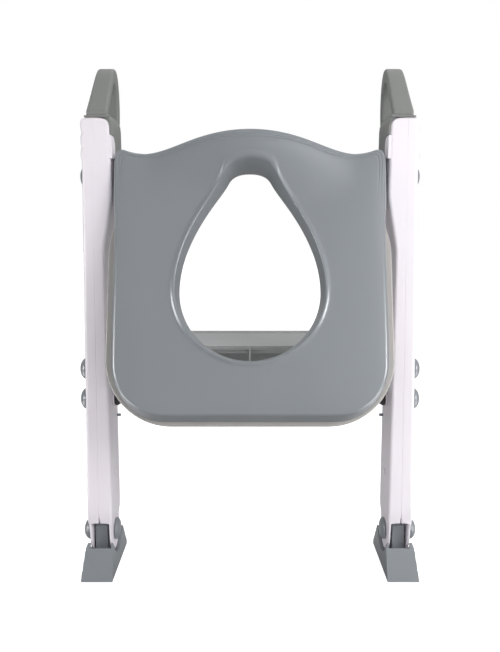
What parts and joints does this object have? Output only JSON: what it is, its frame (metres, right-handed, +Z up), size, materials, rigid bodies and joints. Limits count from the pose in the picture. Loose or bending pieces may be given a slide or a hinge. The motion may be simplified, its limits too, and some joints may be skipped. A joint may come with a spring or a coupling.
{
  "type": "potty training chair",
  "caption": "Folding toddler toilet seat with splash guard, hinged between two side rails with grab handles, a fold-up step and pivoting wedge feet.",
  "frame": {"origin": "centre of the footprint on the floor, midway between the two feet from left to right and midway between the seat's rear edge and the step's nose", "axes": "+Z up, +Y towards the side the child climbs from, +X to the right when looking along +Y; the stored seat hangs on the -Y side with its sitting face towards -Y"},
  "size_m": [0.3684, 0.2032, 0.535],
  "materials": {
    "white_plastic": "satin moulded white polypropylene",
    "grey_plastic": "satin moulded cool grey polypropylene",
    "handle_plastic": "fine textured warm grey polypropylene",
    "step_plastic": "fine textured grey polypropylene",
    "dark_plastic": "glossy dark grey nylon caps",
    "steel": "zinc plated",
    "rubber": "matt grey soft rubber"
  },
  "bodies": {
    "frame": {"bump_stop_left": "grey_plastic", "bump_stop_right": "grey_plastic", "foot_inner_cap_left": "grey_plastic", "foot_inner_cap_right": "grey_plastic", "foot_outer_cap_left": "grey_plastic", "foot_outer_cap_right": "grey_plastic", "foot_pivot_pin_left": "steel", "foot_pivot_pin_right": "steel", "handle_left": "handle_plastic", "handle_right": "handle_plastic", "hinge_bolt_left": "steel", "hinge_bolt_right": "steel", "hinge_knob_left": "grey_plastic", "hinge_knob_right": "grey_plastic", "hinge_nut_cap_left": "dark_plastic", "hinge_nut_cap_right": "dark_plastic", "hinge_washer_left": "handle_plastic", "hinge_washer_right": "handle_plastic", "rail_inner_shell_left": "white_plastic", "rail_inner_shell_right": "white_plastic", "rail_outer_shell_left": "white_plastic", "rail_outer_shell_right": "white_plastic", "rail_screw_lower_left": "steel", "rail_screw_lower_right": "steel", "rail_screw_upper_left": "steel", "rail_screw_upper_right": "steel", "step_pivot_bolt_left": "steel", "step_pivot_bolt_right": "steel", "step_pivot_cap_left": "dark_plastic", "step_pivot_cap_right": "dark_plastic", "step_pivot_knob_left": "grey_plastic", "step_pivot_knob_right": "grey_plastic", "step_stop_bolt_left": "steel", "step_stop_bolt_right": "steel", "step_stop_cap_left": "dark_plastic", "step_stop_cap_right": "dark_plastic", "step_stop_collar_left": "white_plastic", "step_stop_collar_right": "white_plastic", "step_stop_knob_left": "grey_plastic", "step_stop_knob_right": "grey_plastic"},
    "seat": {"seat_base": "grey_plastic", "seat_pad_1": "rubber", "seat_pad_2": "rubber", "seat_pad_3": "rubber", "seat_pad_4": "rubber", "seat_screw_1": "steel", "seat_screw_2": "steel", "seat_screw_3": "steel", "seat_screw_4": "steel", "seat_top_shell": "grey_plastic"},
    "step": {"step_tread": "step_plastic"},
    "foot_left": {"foot_shoe_left": "grey_plastic", "foot_sole_pad_left": "rubber"},
    "foot_right": {"foot_shoe_right": "grey_plastic", "foot_sole_pad_right": "rubber"}
  },
  "joints": [
    {"name": "seat_hinge", "type": "hinge", "parent": "frame", "child": "seat", "pos_m": [0, 0.0178, 0.427], "axis": [-1, 0, 0], "range_deg": [0, 90]},
    {"name": "step_fold", "type": "hinge", "parent": "frame", "child": "step", "pos_m": [0, 0.0048, 0.226], "axis": [1, 0, 0], "range_deg": [0, 90]},
    {"name": "foot_left_pivot", "type": "hinge", "parent": "frame", "child": "foot_left", "pos_m": [-0.1643, 0.0048, 0.043], "axis": [1, 0, 0], "range_deg": [-18, 18]},
    {"name": "foot_right_pivot", "type": "hinge", "parent": "frame", "child": "foot_right", "pos_m": [0.1643, 0.0048, 0.043], "axis": [1, 0, 0], "range_deg": [-18, 18]}
  ]
}
